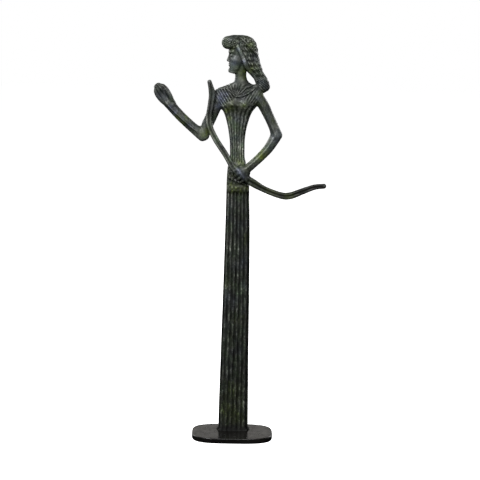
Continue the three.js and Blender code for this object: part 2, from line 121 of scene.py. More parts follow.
# Where the tail of hair grows into the left shoulder
HAIR_ROOT = {"at": (4.2, 0.1, 87.5), "half": (0.75, 0.8, 0.6)}
# Lines of side and height: the neckline and the slanting edge of the overfold
NECKLINE = [(-3.1, 87.1), (-1.9, 86.1), (-0.7, 85.1), (0.9, 85.2), (2.6, 86.0), (4.0, 87.1)]
OVERFOLD_EDGE = [(-2.5, 65.2), (-0.6, 64.3), (0.6, 63.8), (2.9, 63.0)]
# Dress: height, middle, half width, half depth and squareness of the section
BODY = [
    (0, 0, 3.8, 2.02, 3.4),
    (20.6, 0.09, 3.54, 1.9, 3.4),
    (36.3, 0.22, 3.34, 1.82, 3.4),
    (51.6, 0.28, 3.1, 1.75, 3.4),
    (HEM_BAND["bottom"], 0.21, 2.87, 1.7, 3.2),
    (OVERFOLD["bottom"], 0.2, 2.84, 1.68, 3.1),
    (BELT["bottom"], 0.04, 2.46, 1.58, 2.8),
    (BODICE["bottom"], -0.02, 2.14, 1.46, 2.7),
    (70.4, -0.07, 1.82, 1.36, 2.6),
    (73.3, -0.12, 1.84, 1.38, 2.6),
    (76.3, -0.19, 2.14, 1.48, 2.6),
    (79.2, -0.16, 2.8, 1.6, 2.6),
    (81.2, -0.14, 3.54, 1.66, 2.6),
    (82.8, -0.15, 4.8, 1.64, 2.6),
    (84.2, -0.1, 5.7, 1.56, 2.5),
    (85.5, -0.05, 6.05, 1.42, 2.4),
    (86.4, 0, 5.9, 1.26, 2.3),
    (87.0, 0.1, 5.1, 1.2, 2.2),
    (87.5, 0.3, 4.0, 1.18, 2.2),
    (88.0, 0.5, 2.95, 1.2, 2.1),
    (88.5, 0.62, 2.0, 1.25, 2.1),
    (89.3, 0.55, 1.45, 1.3, 2.0),
]

# Limbs: side, depth, height, half width and half depth along each centre line
RIGHT_ARM = [
    (-4.3, 0.1, 85.2, 1.3, 1.15), (-5.5, 0.1, 82.7, 1.45, 1.2), (-6.6, 0, 80.2, 1.46, 1.15),
    (-7.65, 0, 77.8, 1.42, 1.1), (-8.5, 0, 75.3, 1.4, 1.1),
]
RIGHT_FOREARM = [
    (-8.6, 0, 75.1, 1.4, 1.1), (-11.7, -0.1, 77.6, 1.25, 1.02), (-14.65, -0.2, 80.35, 1.25, 0.95),
    (-17.1, -0.3, 83.0, 1.27, 0.85),
]
RIGHT_HAND = [
    (-16.5, -0.3, 82.8, 1.2, 0.85), (-17.7, -0.3, 84.1, 1.7, 0.82), (-18.7, -0.3, 85.45, 1.9, 0.78),
    (-19.5, -0.35, 86.6, 1.65, 0.7), (-20.1, -0.4, 87.4, 0.9, 0.5),
]
RIGHT_THUMB = [
    (-16.4, -0.8, 84.0, 0.5, 0.45), (-17.0, -1.0, 85.3, 0.55, 0.5), (-17.9, -1.0, 86.5, 0.42, 0.4),
]
LEFT_ARM = [
    (4.5, 0.1, 85.4, 1.35, 1.15), (6.1, 0.1, 83.1, 1.38, 1.15), (7.4, 0, 80.6, 1.26, 1.1),
    (8.62, 0, 78.1, 1.22, 1.1), (9.62, 0, 75.7, 1.34, 1.1),
]
LEFT_FOREARM = [
    (9.6, 0, 75.6, 1.38, 1.1), (7.85, -0.3, 72.65, 1.22, 1.05), (6.0, -0.85, 70.55, 1.13, 0.98),
    (4.1, -1.4, 68.75, 1.08, 0.92), (2.3, -1.9, 67.2, 1.1, 0.9),
]
FIST = {"at": (1.15, -1.95, 66.3), "half": (2.05, 1.1, 1.85)}
KNUCKLES = [(-0.4, -2.35, 67.6), (0.65, -2.75, 66.5), (1.4, -2.75, 65.45), (2.3, -2.35, 64.6)]
KNUCKLE_RADII = [0.42, 0.5, 0.5, 0.45]
# The fingers start at these shares of the line of knuckles
FINGERS = [0.12, 0.38, 0.64, 0.9]
FINGER_REACH = np.array((-1.0, 0.35, -0.85))
FINGER_RADII = [0.4, 0.4, 0.34]
BOW_UPPER = [
    (0.9, -2.15, 65.75, 0.85, 0.6), (-0.86, -2.1, 67.3, 0.75, 0.58), (-3.0, -1.85, 70.8, 0.74, 0.55),
    (-5.4, -1.6, 74.4, 0.76, 0.55), (-6.95, -1.55, 77.6, 0.78, 0.58), (-7.15, -1.5, 80.3, 0.76, 0.58),
    (-6.75, -1.45, 83.4, 0.76, 0.56), (-6.55, -1.4, 85.9, 0.8, 0.54), (-7.2, -1.4, 88.6, 0.55, 0.44),
]
BOW_LOWER = [
    (0.9, -2.15, 65.75, 0.95, 0.62), (3.75, -2.05, 63.95, 1.0, 0.64), (7.05, -1.85, 62.15, 0.8, 0.6),
    (10.85, -1.7, 60.8, 0.84, 0.6), (13.2, -1.6, 60.72, 0.88, 0.6), (16.2, -1.5, 61.85, 0.8, 0.56),
    (19.2, -1.4, 62.95, 0.68, 0.52), (21.7, -1.35, 63.25, 0.62, 0.5),
]

# Head and hair, in the head's own frame, which faces -X
HEAD = {"side": 0.7, "height": 95.6, "turn": math.radians(6)}
NECK = [
    (0.62, 0, 87.4, 1.75, 1.35),
    (0.5, 0, 88.8, 1.42, 1.3),
    (0.45, 0, 90.6, 1.38, 1.3),
    (HEAD["side"] - 0.1, 0, HEAD["height"] - 2.1, 1.5, 1.4),
]
FACE = [
    (-5.0, -1.9, 0.5, 0.4), (-4.75, -1.9, 1.25, 0.95), (-4.2, -1.75, 1.55, 1.2),
    (-3.7, -1.55, 1.6, 1.45), (-3.0, -1.4, 1.8, 1.65), (-2.2, -1.15, 2.05, 1.85),
    (-1.2, -0.8, 2.35, 2.02), (-0.4, -0.6, 2.5, 2.05), (0.4, -0.5, 2.8, 2.15),
    (1.6, -0.5, 2.85, 2.2), (2.6, -0.5, 2.5, 2.0),
]
NOSE = [((-2.95, 0, -0.1), 0.26), ((-3.2, 0, -1.0), 0.29), ((-3.42, 0, -1.75), 0.36)]
BROW = {"inner": (-3.05, 0.4, 0.2), "outer": (-2.45, 1.5, 0.4), "radius": 0.24}
EYE = (-2.64, 0.95, -0.55)
LIPS = {"front": -3.05, "height": -2.85, "half": (0.3, 0.52, 0.17), "parting": 0.16}
HAIR = [
    (4.42, -0.2, 0.6, 0.5), (4.2, -0.25, 1.6, 1.1), (3.6, -0.25, 2.75, 1.8),
    (2.6, -0.15, 3.5, 2.3), (1.2, -0.1, 3.85, 2.5), (-0.2, 0.05, 3.98, 2.5),
    (-2.0, 0.75, 3.7, 2.4), (-3.5, 1.9, 3.05, 2.2), (-4.85, 3.62, 1.86, 1.8),
    (-6.0, 4.55, 1.75, 1.5), (-7.2, 5.15, 1.75, 1.35), (-8.1, 5.35, 1.75, 1.3),
    (-8.9, 5.3, 1.5, 1.15), (-9.7, 5.2, 0.6, 0.6),
]
# How strongly the locks, the strands, the curls and the nicks are cut into the hair
HAIR_RELIEF = {"locks": 0.12, "strands": 0.09, "curls": 0.14, "nicks": 0.09}
# The hair's edge beside the face: how far back it lies at each height
HAIRLINE = [(-1.7, 1.2), (0.7, -3.0), (1.76, -4.85), (1.76, -7.0)]
FRINGE = {
    "ends": 75, "x": -0.6, "reach": 2.9, "spread": 1.5, "height": 2.5, "radius": 1.6, "taper": 0.4, "curls": 7
}
# Each curl is two round grooves: ring and depth
CURL_RINGS = [(0.74, 0.13), (0.34, 0.11)]
# The hair that runs from the fringe back over the crown, with its radius at each place
SWEPT_HAIR = [((-3.2, 0, 2.65), 1.4), ((-2.2, 0, 3.05), 1.36), ((-1.0, 0, 3.15), 1.25)]
# Strokes combed back over the fringe and the crown, deepening between these heights
COMBED = {"pitch": 0.46, "depth": 0.055, "low": 2.9, "high": 3.6}
RIBBON = {"from": (-0.85, 3.98), "to": (4.0, -0.8), "radius": 0.3, "taper": 0.2, "steps": 13}
BEADS = [(0.35, 3.35), (1.2, 2.75), (2.85, 1.75)]
BEAD_RADIUS = 0.34
TRESS = [
    ((-1.4, -2.2, 1.7), 0.45),
    ((-0.55, -2.45, 0.1), 0.46),
    ((0.35, -2.35, -1.8), 0.52),
    ((1.15, -2.05, -3.5), 0.48),
    ((2.6, -1.4, -5.1), 0.4),
    ((3.7, -1.15, -6.6), 0.26),
]

# Patina spots: side, height and spread in hundredths of the figure's height, and strength
OLIVE_SPOTS = [
    (1.2, 90.6, 1.2, 1.0), (-2.3, 83.2, 1.6, 0.8), (-2.8, 81.5, 0.7, 0.7), (-2.2, 79.5, 0.7, 0.5),
    (1.2, 82.8, 1.0, 0.6), (4.7, 83.4, 0.8, 0.7), (5.7, 85.5, 0.9, 1.0), (6.4, 83.6, 0.7, 0.6),
    (8.7, 79.0, 0.8, 0.5), (-8.0, 76.1, 1.1, 1.3), (-12.7, 79.7, 0.8, 0.7), (-14.0, 78.6, 0.9, 0.8),
    (-15.2, 79.8, 1.0, 0.7), (0.6, 68.4, 1.7, 0.6), (-1.9, 65.2, 1.1, 0.8), (-1.4, 62.5, 1.1, 1.3),
    (0.6, 62.5, 1.2, 1.4), (2.3, 62.3, 0.8, 0.9), (5.9, 70.7, 1.4, 1.2), (13.2, 60.4, 2.6, 0.9),
    (8.2, 61.5, 2.0, 0.8), (4.7, 63.5, 1.3, 0.6), (-1.6, 5.5, 2.8, 0.55), (1.2, 3.6, 2.0, 0.45),
    (-0.6, 10.5, 2.5, 0.4), (2.6, 97.6, 1.4, 0.5), (3.2, 92.0, 0.9, 0.6), (-1.6, 97.3, 1.2, 0.4),
    (3.0, 50.0, 1.6, 0.6), (-2.6, 38.0, 1.8, 0.3), (1.5, 27.0, 2.6, 0.3),
]
# Spots of painted highlight on the folds, the fist, the forearm and the cheek, partly a pale whitish patina:
# side, height, spread and strength
HIGHLIGHT_AND_BLOOM_SPOTS = [
    (-3.9, 84.9, 1.5, 1.0), (-4.8, 82.6, 0.9, 0.8), (0.3, 67.0, 0.7, 0.8), (0.9, 66.2, 0.7, 1.0),
    (1.6, 65.4, 0.6, 0.8), (-0.3, 96.5, 0.6, 0.5), (0.4, 95.1, 0.6, 0.3), (1.05, 93.8, 0.6, 0.4),
    (-15.4, 80.9, 0.7, 0.7), (-13.7, 79.4, 0.6, 0.6), (-12.0, 77.8, 0.6, 0.5), (-16.6, 82.0, 0.8, 0.8),
    (-18.9, 85.4, 1.3, 0.4), (5.6, 88.4, 1.2, 0.2), (9.4, 75.0, 1.6, 0.25), (-1.3, 93.2, 0.7, 0.35),
    (-3.0, 34.0, 2.5, 0.25), (2.6, 44.0, 2.0, 0.25), (5.0, 84.6, 1.0, 0.4),
]
# Darker places: painted shade in hollows beside and under the fist, behind the ear lock and by the neck, and
# darker patches along the bow; a strength below zero makes a painted highlight, as on the cheek and the neck
SHADE_HIGHLIGHT_AND_PATCH_SPOTS = [
    (1.2, 90.6, 1.2, -0.1), (-1.2, 93.4, 1.2, -0.4), (0.9, 93.9, 0.7, -0.4), (0.2, 95.4, 0.7, -0.3),
    (-11.3, 78.2, 1.0, 0.3), (0.5, 52.0, 2.2, 0.25), (-1.8, 46.0, 2.5, -0.25), (6.5, 62.6, 2.3, 0.55),
    (11.0, 60.8, 2.3, 0.6), (1.2, 66.3, 1.5, 0.3), (15.8, 61.8, 2.4, 0.8), (20.6, 63.2, 3.0, 0.9),
    (5.3, 88.6, 1.9, -0.6), (-2.0, 62.6, 1.8, 0.35), (1.8, 62.4, 1.8, 0.3), (-8.3, 75.9, 1.3, 0.35),
    (4.2, 64.0, 1.6, 0.4), (-6.9, 87.2, 1.3, 0.3), (-6.9, 84.0, 1.0, 0.35), (-7.2, 80.8, 1.0, 0.35),
    (-6.6, 76.8, 0.9, 0.35), (-4.6, 73.1, 1.0, 0.3), (-2.4, 69.7, 1.0, 0.2), (-1.7, 65.7, 1.0, 0.6),
    (0.2, 64.2, 1.3, 0.5), (-3.4, 71.4, 1.8, 0.4), (3.1, 95.2, 1.1, 0.5), (2.6, 92.6, 1.0, 0.4),
    (2.4, 88.4, 1.0, 0.5), (-5.4, 83.5, 0.6, 0.6),
]
# Stops of painted shade in the creases and painted highlight on the ridges, fewer on the skirt, and how much
# darker some parts are: the arms, and the skirt's sides as painted shade
CREASE_SHADE_RIDGE_HIGHLIGHT_STOPS = 2.0
SKIRT_CALMER = 0.4
ARMS_DARKER = 0.35
SKIRT_SIDES_PAINTED_SHADE = 0.45
# Relief is read twice, against surroundings smoothed in few rounds and in many
FINE_ROUNDS = 6
FINE_RELIEF = 0.22
BROAD_ROUNDS = 40
BROAD_RELIEF = 0.9

# Colours of the bronze, as linear light
# Crease and ridge colours: patina in the hollows and wear on the ridges, together with painted shade in the
# creases and painted highlight on the ridges
CREASE_PATINA_AND_SHADE = (0.0072, 0.0082, 0.0045)
SKIN = (0.018, 0.0205, 0.0162)
RIDGE_WEAR_AND_HIGHLIGHT = (0.055, 0.057, 0.05)
GREEN_FILM = (0.0115, 0.0205, 0.009)
BLUE_FILM = (0.0145, 0.0175, 0.021)
OLIVE = (0.035, 0.046, 0.008)
# Blue-white colour of a whitish patina, also used for painted highlights
HIGHLIGHT_AND_BLOOM = (0.044, 0.05, 0.08)
PLINTH_DARK = (0.0035, 0.0033, 0.003)
PLINTH_LIGHT = (0.009, 0.0085, 0.0075)
# Brightness of each stretch of the figure by height: painted contact shade at the foot, a darker patina on
# the skirt, and painted light from above that makes the bodice, arms and head lighter
LIGHT_SHADE_AND_TONE_BY_HEIGHT = [
    (0, 0.12), (0.8, 0.2), (1.5, 0.84), (30, 0.78), (60, 0.95), (61.6, 1.0), (67, 1.0),
    (70, 2.15), (78, 1.95), (82, 0.95), (88, 0.95), (91, 1.5), (100, 1.2),
]
PLINTH = {"sides": 160, "squareness": 3.4, "low_edge": 0.0007, "top_edge": 0.0003}


# Helpers for curves and distances
def smooth_table(rows):
    """A smooth curve through a table's rows without overshoot; gives every column but the first."""
    rows = np.array(sorted(rows), float)
    t, v = rows[:, 0], rows[:, 1:]
    step = np.diff(t)[:, None]
    slope = np.diff(v, axis=0) / step
    product = slope[:-1] * slope[1:]
    total = np.where(product > 0, slope[:-1] + slope[1:], 1)
    tangent = np.zeros_like(v)
    tangent[1:-1] = np.where(product > 0, 2 * product / total, 0)

    def value(at):
        at = np.asarray(at, float)
        k = np.clip(np.searchsorted(t, at, side="right") - 1, 0, len(t) - 2)
        s = np.clip((at - t[k]) / step[k, 0], 0, 1)[..., None]
        out = (2 * s**3 - 3 * s**2 + 1) * v[k] + (s**3 - 2 * s**2 + s) * step[k] * tangent[k]
        out += (3 * s**2 - 2 * s**3) * v[k + 1] + (s**3 - s**2) * step[k] * tangent[k + 1]
        return [out[..., c] for c in range(v.shape[1])]

    return value


def smooth_curve(points, steps):
    """Points along a Catmull-Rom curve, with their share of its length in parameters."""
    p = np.array(points, float)
    p = np.vstack([2 * p[0] - p[1], p, 2 * p[-1] - p[-2]])
    spans = len(p) - 3
    at = np.linspace(0, spans, spans * steps + 1)
    k = np.minimum(at.astype(int), spans - 1)
    t = (at - k)[:, None]
    a, b, c, d = p[k], p[k + 1], p[k + 2], p[k + 3]
    out = 0.5 * (2 * b + (c - a) * t + (2 * a - 5 * b + 4 * c - d) * t**2 + (3 * b - a - 3 * c + d) * t**3)
    return out, at / spans


def smoothstep(value, low, high):
    s = np.clip((value - low) / (high - low), 0, 1)
    return s * s * (3 - 2 * s)


def inside(value, low, high, ease):
    return smoothstep(value, low, low + ease) * (1 - smoothstep(value, high - ease, high))


def smooth_min(a, b, blend):
    if blend <= 0:
        return np.minimum(a, b)
    h = np.clip(0.5 + 0.5 * (b - a) / blend, 0, 1)
    return b + (a - b) * h - blend * h * (1 - h)


def smooth_max(a, b, blend):
    return -smooth_min(-a, -b, blend)


def ridge(offset, width):
    return np.exp(-((offset / width) ** 2))


def wobble(seed, *coordinates):
    """A soft wandering value from -1 to 1 made of a few sines, the same on each run."""
    rng = np.random.default_rng(seed)
    total = 0
    for _ in range(4):
        phase = rng.uniform(0, 2 * math.pi)
        turn = sum(c * rng.uniform(0.6, 1.7) * rng.choice([-1, 1]) for c in coordinates)
        total = total + np.sin(turn + phase)
    return total / 4


def ripple(seed, a, b, wavelength):
    """Small tool marks over a surface with places a and b, about one wavelength across, from -1 to 1."""
    rng = np.random.default_rng(seed)
    total = 0
    for _ in range(6):
        way = rng.uniform(0, 2 * math.pi)
        pace = 2 * math.pi / (wavelength * rng.uniform(0.7, 1.4))
        total = total + np.sin(pace * (a * math.cos(way) + b * math.sin(way)) + rng.uniform(0, 2 * math.pi))
    return total / 3.5


def ellipsoid(at, half, blend):
    """An ellipsoid's distance, with the low and high corners of the window that it needs."""
    at, half = np.array(at, float), np.array(half, float)

    def distance(x, y, z):
        q = [(c - a) for c, a in zip((x, y, z), at)]
        r = np.sqrt(sum((c / h) ** 2 for c, h in zip(q, half)))
        steep = np.sqrt(sum((c / h**2) ** 2 for c, h in zip(q, half))) + 1e-9
        return r * (r - 1) / steep
    return distance, at - half - blend - 0.3, at + half + blend + 0.3


def capsule(a, b, radius_a, radius_b):
    a, b = np.array(a, float), np.array(b, float)
    ab = b - a

    def distance(x, y, z):
        t = ((x - a[0]) * ab[0] + (y - a[1]) * ab[1] + (z - a[2]) * ab[2]) / ab.dot(ab)
        t = np.clip(t, 0, 1)
        q = (x - a[0] - t * ab[0]) ** 2 + (y - a[1] - t * ab[1]) ** 2 + (z - a[2] - t * ab[2]) ** 2
        return np.sqrt(q) - radius_a - (radius_b - radius_a) * t
    return distance


class Field:
    """Signed distances on a grid of planes, negative inside the bronze."""

    def __init__(self, *stretches):
        self.axes = [np.concatenate([np.arange(a, b, s) for a, b, s in part]) for part in stretches]
        self.values = np.full([len(a) for a in self.axes], FAR, np.float32)
        self.to_local = lambda x, y, z: (x, y, z)
        self.to_world = lambda p: p

    def window(self, low, high):
        picks = tuple(slice(*np.searchsorted(axis, (a, b))) for axis, a, b in zip(self.axes, low, high))
        return picks, np.meshgrid(*[axis[p] for axis, p in zip(self.axes, picks)], indexing="ij", sparse=True)

    def local_window(self, low, high):
        corners = [
            self.to_world((x, y, z))
            for x in (low[0], high[0])
            for y in (low[1], high[1])
            for z in (low[2], high[2])
        ]
        picks, coordinates = self.window(np.min(corners, 0), np.max(corners, 0))
        return picks, self.to_local(*coordinates)

    def add(self, distance, low, high, blend=0.0):
        picks, coordinates = self.local_window(low, high)
        self.values[picks] = smooth_min(self.values[picks], distance(*coordinates), blend)

    def cut(self, distance, low, high, blend=0.0):
        picks, coordinates = self.local_window(low, high)
        self.values[picks] = smooth_max(self.values[picks], -distance(*coordinates), blend)

    def add_ellipsoid(self, at, half, blend):
        self.add(*ellipsoid(at, half, blend), blend)

    def cut_ellipsoid(self, at, half, blend):
        self.cut(*ellipsoid(at, half, blend), blend)

    def tube(self, points, radii, blend, steps=6):
        """A round rod through points, whose radii follow their own smooth table."""
        centre, at = smooth_curve(points, steps)
        radius = smooth_table([(i / (len(radii) - 1), r) for i, r in enumerate(radii)])(at)[0]
        margin = max(radii) + blend + 0.4
        picks, (x, y, z) = self.local_window(centre.min(0) - margin, centre.max(0) + margin)
        near = np.full(np.broadcast_shapes(x.shape, y.shape, z.shape), FAR)
        for a, b, ra, rb in zip(centre[:-1], centre[1:], radius[:-1], radius[1:]):
            near = np.minimum(near, capsule(a, b, ra, rb)(x, y, z))
        self.values[picks] = smooth_min(self.values[picks], near, blend)

    def limb(self, stations, blend, steps=7, relief=None):
        """An oval rod along stations; relief(share, across, front) is what its surface stands out by."""
        stations = np.array(stations, float)
        centre, at = smooth_curve(stations[:, :3], steps)
        count = len(stations) - 1
        half = np.stack(smooth_table([(i / count, *row[3:]) for i, row in enumerate(stations)])(at), 1)
        tangent = np.gradient(centre, axis=0)
        tangent /= np.linalg.norm(tangent, axis=1)[:, None]
        across = np.stack([tangent[:, 2], 0 * at, -tangent[:, 0]], 1)
        across /= np.linalg.norm(across, axis=1)[:, None]
        forward = np.cross(across, tangent)
        margin = stations[:, 3:].max() + blend + 0.4
        picks, _ = self.window(centre.min(0) - margin, centre.max(0) + margin)
        near = np.full([p.stop - p.start for p in picks], FAR)
        for i in range(len(centre) - 1):
            low = np.minimum(centre[i], centre[i + 1]) - margin
            high = np.maximum(centre[i], centre[i + 1]) + margin
            inner, (x, y, z) = self.window(low, high)
            spot = tuple(slice(p.start - q.start, p.stop - q.start) for p, q in zip(inner, picks))
            step = centre[i + 1] - centre[i]
            along = sum((c - centre[i, k]) * step[k] for k, c in enumerate((x, y, z)))
            t = np.clip(along / step.dot(step), 0, 1)
            q = [c - centre[i, k] - t * step[k] for k, c in enumerate((x, y, z))]
            wide = half[i, 0] + (half[i + 1, 0] - half[i, 0]) * t
            deep = half[i, 1] + (half[i + 1, 1] - half[i, 1]) * t
            short = np.minimum(wide, deep)
            a = sum(q[k] * (across[i, k] + (across[i + 1, k] - across[i, k]) * t) for k in range(3))
            b = sum(q[k] * forward[i, k] for k in range(3))
            c = sum(q[k] * tangent[i, k] for k in range(3))
            r = np.sqrt((a / wide) ** 2 + (b / deep) ** 2 + (c / short) ** 2)
            steep = np.sqrt((a / wide**2) ** 2 + (b / deep**2) ** 2 + (c / short**2) ** 2) + 1e-9
            d = r * (r - 1) / steep
            if relief is not None:
                share = at[i] + (at[i + 1] - at[i]) * t
                d = d - relief(share, a / wide, b / deep)
            near[spot] = np.minimum(near[spot], d)
        self.values[picks] = smooth_min(self.values[picks], near, blend)


# Dress
body_at = smooth_table(BODY)


def bands_of_pleats(u, z, level, soft):
    """Pleats and raised bands at share u of the dress's half width, a little uneven as if cut by hand."""
    drift = 0.014 * wobble(11, 0.21 * z + 0 * u) + 0.012 * wobble(12, 0.5 * z + 0 * u, 5 * u)
    turn = 2 * math.pi * (u + drift - PLEATS["first"]) / PLEATS["pitch"]
    pleat = (0.5 + 0.5 * np.cos(turn)) ** soft
    fine = 0.5 + 0.5 * np.cos(3 * turn + 1.2 * wobble(13, 0.3 * z + 0 * u, 3 * u))
    uneven = 1 + 0.45 * wobble(14, 0.4 * z + 0 * u, 7 * u)
    out = 0
    for i, band in enumerate(BANDS):
        top = BANDS[i + 1]["bottom"] if i + 1 < len(BANDS) else BODICE_TOP
        ease = PLEAT_EDGE
        if band is BODICE:
            top, ease = top + 0.9 * wobble(17, 6 * u + 0 * z), 1.2
        begin = band["bottom"] if band is not SKIRT else -1.0
        zone = smoothstep(z, begin, begin + PLEAT_EDGE)
        zone = zone * (1 - smoothstep(z, top - ease, top))
        out = out + zone * level * band["depth"] * ((pleat - 1) * uneven - 0.14 * fine)
        raised = smoothstep(z, band["bottom"], band["bottom"] + BAND_EDGE)
        raised = raised * (1 - smoothstep(z, top - 4 * BAND_EDGE, top))
        out = out + raised * band["proud"]
    tooled = ripple(16, u * 3.2, z * 0.45, 0.55) * inside(z, 0.2, 82, 1)
    pitted = ripple(19, u * 3.2, z, 0.75) * inside(z, HEM_BAND["bottom"], BELT["bottom"], 0.3)
    return out + level * (0.035 * tooled + 0.04 * pitted)


def chest_relief(x, z):
    """Folds on both shoulders, the neckline and the strokes of the collar, on the front alone."""
    out = 0
    below = z - np.interp(x, [p[0] for p in NECKLINE], [p[1] for p in NECKLINE])
    for side, depth, sharp in SHOULDER_FOLDS:
        along = side * x - FOLD_LEAN * (z - 84) + 0.1 * wobble(21 + side, 1.3 * x, 1.3 * z)
        groove = (0.5 + 0.5 * np.cos(2 * math.pi * along / FOLD_PITCH)) ** sharp
        low = FOLD_FLOOR["z"] - FOLD_FLOOR["slope"] * np.maximum(0, side * x - FOLD_FLOOR["x"])
        zone = inside(side * x, 0.7, 6.1, 0.7) * inside(z, 82.5, 87.4, 0.6) * smoothstep(-below, 0.1, 0.5)
        zone = zone * smoothstep(z - low + 0.3 * wobble(23, 2.5 * x + 0 * z), -0.3, 0.4)
        out = out - zone * depth * groove
    radius = np.hypot(x - COLLAR["x"], z - COLLAR["z"])
    turn = np.arctan2(z - COLLAR["z"], x - COLLAR["x"])
    strokes = np.cos(COLLAR["strokes"] * turn + 2.2 * wobble(25, 1.1 * x, 1.1 * z))
    strokes = strokes * (0.7 + 0.5 * ripple(27, x, z, 1.4))
    zone = inside(radius, 0.8, 5.6, 0.6) * smoothstep(below, -0.1, 0.4) * inside(z, 84.5, 88.3, 0.5)
    out = out + COLLAR["depth"] * strokes * zone
    neckline = NECKLINE_RIDGE["height"] * ridge(below, NECKLINE_RIDGE["width"])
    out = out + neckline * inside(x, -3.3, 4.3, 0.5)
    out = out + 0.03 * ripple(26, x, z, 0.8) * inside(z, 81, 88, 1)
    for side in (-1, 1):
        for form in BREASTS:
            square = (x - side * form["side"]) ** 2 + (z - form["height"]) ** 2
            out = out + form["swell"] * np.exp(-square / form["radius"] ** 2)
    return out


def dress(x, y, z):
    """How far a place lies out of the plain section, and its share of the half width."""
    middle, wide, deep, square = body_at(z)
    rise = np.clip(1 - z / FOOT_FLARE["height"], 0, 1)
    flare = FOOT_FLARE["reach"] * (1 - np.sqrt(1 - rise**2))
    u = (x - middle) / (wide + flare)
    v = y / (deep + flare)
    plain = (np.abs(u) ** square + np.abs(v) ** square) ** (1 / square)
    return plain - 1, u


def carve_dress(field):
    low, high = (-7.6, -3.4, -0.3), (7.6, 3.4, 90.6)
    picks, (x, y, z) = field.window(low, high)
    plain, u = dress(x, y, z)
    slopes = np.gradient(plain, x.ravel(), y.ravel(), z.ravel())
    steep = np.sqrt(sum(s**2 for s in slopes))
    distance = plain / np.maximum(steep, 0.12)
    flat = inside(u, -0.985, 0.985, 0.09)
    hem = np.interp(x, [p[0] for p in OVERFOLD_EDGE], [p[1] for p in OVERFOLD_EDGE])
    turned = ridge(z - hem, OVERFOLD_RIDGE["width"]) * inside(z, 62.6, 65.6, 0.3) * OVERFOLD_RIDGE["height"]
    front = (bands_of_pleats(u, z, 1, 0.62) + turned) * flat + chest_relief(x, z)
    back = bands_of_pleats(-u, z, BACK_CARVING, 0.9) * flat
    facing = smoothstep(-y, -0.5, 0.5)
    distance = distance - (front * facing + back * (1 - facing))
    distance = smooth_max(distance, -z - SEAT, 0.0)
    distance = smooth_max(distance, z - 89.7, 1.0)
    field.values[picks] = np.minimum(field.values[picks], distance)


# Limbs and bow
def carve_limbs(field):
    """Arms, open hand and bow; each relief takes the share along the limb and the place around it."""
    def marks(share, across, front, depth=0.02):
        return depth * ripple(41, 6 * across + 2 * front, 26 * share, 1.7)

    def sinewy(share, across, front):
        line = 0.1 - 0.45 * share
        face = smoothstep(share, 0.05, 0.3) * np.clip(1.4 * front, 0, 1)
        edge = 0.2 * ridge(across - line, 0.15) - 0.14 * smoothstep(line - across, 0, 0.4)
        return face * edge + marks(share, across, front)

    def arm_ridge(share, across, front):
        return 0.14 * ridge(across - 0.3, 0.25) * np.clip(1.4 * front, 0, 1) + marks(share, across, front)

    def bow_groove(share, across, front):
        face = np.clip(front * 1.6, 0, 1) * inside(share, 0.05, 0.99, 0.04)
        edges = 0.14 * ridge(across + 0.62, 0.22) + 0.07 * ridge(across - 0.7, 0.25)
        return face * (edges - 0.2 * ridge(across - 0.05, 0.24)) + marks(share, across, front)

    def palm(share, across, front):
        face = np.clip(1.3 * front, 0, 1)
        fingers = (0.5 + 0.5 * np.cos(math.pi * 4 * (across + 0.02))) ** 2
        hollow = 0.22 * np.clip(1 - (across / 0.8) ** 2, 0, 1) * inside(share, 0.1, 0.75, 0.25)
        return -face * (0.2 * fingers * smoothstep(share, 0.3, 0.5) + hollow) + marks(share, across, front)

    field.limb(RIGHT_ARM, 0.5, relief=marks)
    field.limb(RIGHT_FOREARM, 0.6, relief=sinewy)
    field.limb(RIGHT_HAND, 0.4, relief=palm)
    field.limb(RIGHT_THUMB, 0.35)
    field.limb(LEFT_ARM, 0.5, relief=arm_ridge)
    field.limb(LEFT_FOREARM, 0.5, relief=arm_ridge)
    field.limb(BOW_UPPER, 0.35, relief=bow_groove)
    field.limb(BOW_LOWER, 0.35, relief=bow_groove)


def carve_fist(field):
    """The hand closed round the bow: its smooth back, the line of its knuckles and four fingers."""
    field.add_ellipsoid(FIST["at"], FIST["half"], 0.35)
    field.tube(KNUCKLES, KNUCKLE_RADII, 0.45)
    line, _ = smooth_curve(KNUCKLES, 6)
    for share in FINGERS:
        knuckle = line[int(share * (len(line) - 1))]
        tip = knuckle + FINGER_REACH
        middle = (knuckle + tip) / 2 + (0, -0.12, 0)
        field.tube([knuckle, middle, tip], FINGER_RADII, 0.16)


# Head
def head_frame(field):
    """Lets the field's later windows take places in the head's own frame."""
    cosine, sine = math.cos(HEAD["turn"]), math.sin(HEAD["turn"])

    def to_local(x, y, z):
        dx = x - HEAD["side"]
        return cosine * dx + sine * y, cosine * y - sine * dx, z - HEAD["height"]

    def to_world(p):
        x, y, z = p
        return cosine * x - sine * y + HEAD["side"], sine * x + cosine * y, z + HEAD["height"]

    field.to_local, field.to_world = to_local, to_world


def stacked(rows, closing):
    """A skin over oval sections from a table of height, middle and half sizes, without and with its ends."""
    at = smooth_table(rows)
    heights = [row[0] for row in rows]

    def distance(x, y, z):
        middle, wide, deep = at(z)
        r = np.sqrt(((x - middle) / wide) ** 2 + (y / deep) ** 2)
        sides = (r - 1) * np.minimum(wide, deep)
        ends = np.maximum(z - max(heights), min(heights) - z)
        return sides, smooth_max(sides, ends - closing, 0.3)
    return distance


